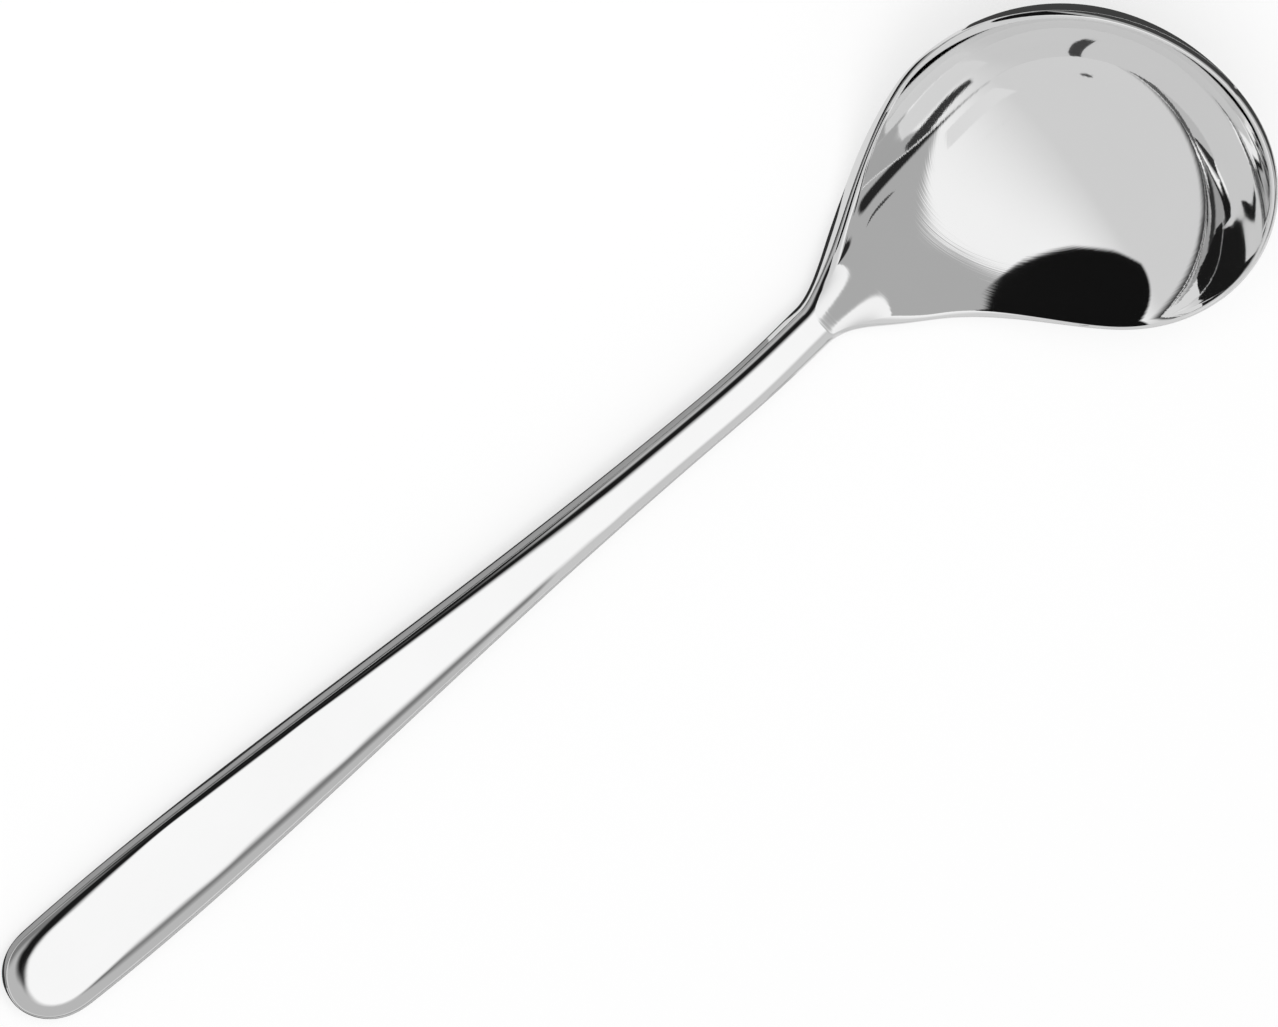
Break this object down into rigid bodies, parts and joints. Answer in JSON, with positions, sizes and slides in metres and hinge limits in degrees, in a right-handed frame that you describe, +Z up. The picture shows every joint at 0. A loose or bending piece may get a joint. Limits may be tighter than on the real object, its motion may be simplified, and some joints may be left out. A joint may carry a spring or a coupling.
{
  "type": "soup ladle",
  "caption": "Soup ladle in polished steel: a deep oval bowl draws in to a narrow neck, which runs into a hollow handle that widens to a rounded end.",
  "frame": {"origin": "middle of the ladle's length and width, on the table that it lies on", "axes": "+X from the bowl to the handle's end, +Y across the ladle, +Z up from the table"},
  "size_m": [0.2536, 0.0706, 0.0361],
  "materials": {
    "bowl": "mirror polished inside and out, with faint polishing lines",
    "handle_upper_shell": "mirror polished along its length",
    "handle_lower_shell": "mirror polished along its length",
    "handle_seam_weld": "ground flush and polished",
    "neck_weld": "ground flush and polished"
  },
  "bodies": {
    "root": {"bowl": "bowl", "handle_upper_shell": "handle_upper_shell", "handle_lower_shell": "handle_lower_shell", "handle_seam_weld": "handle_seam_weld", "neck_weld": "neck_weld"}
  },
  "joints": []
}
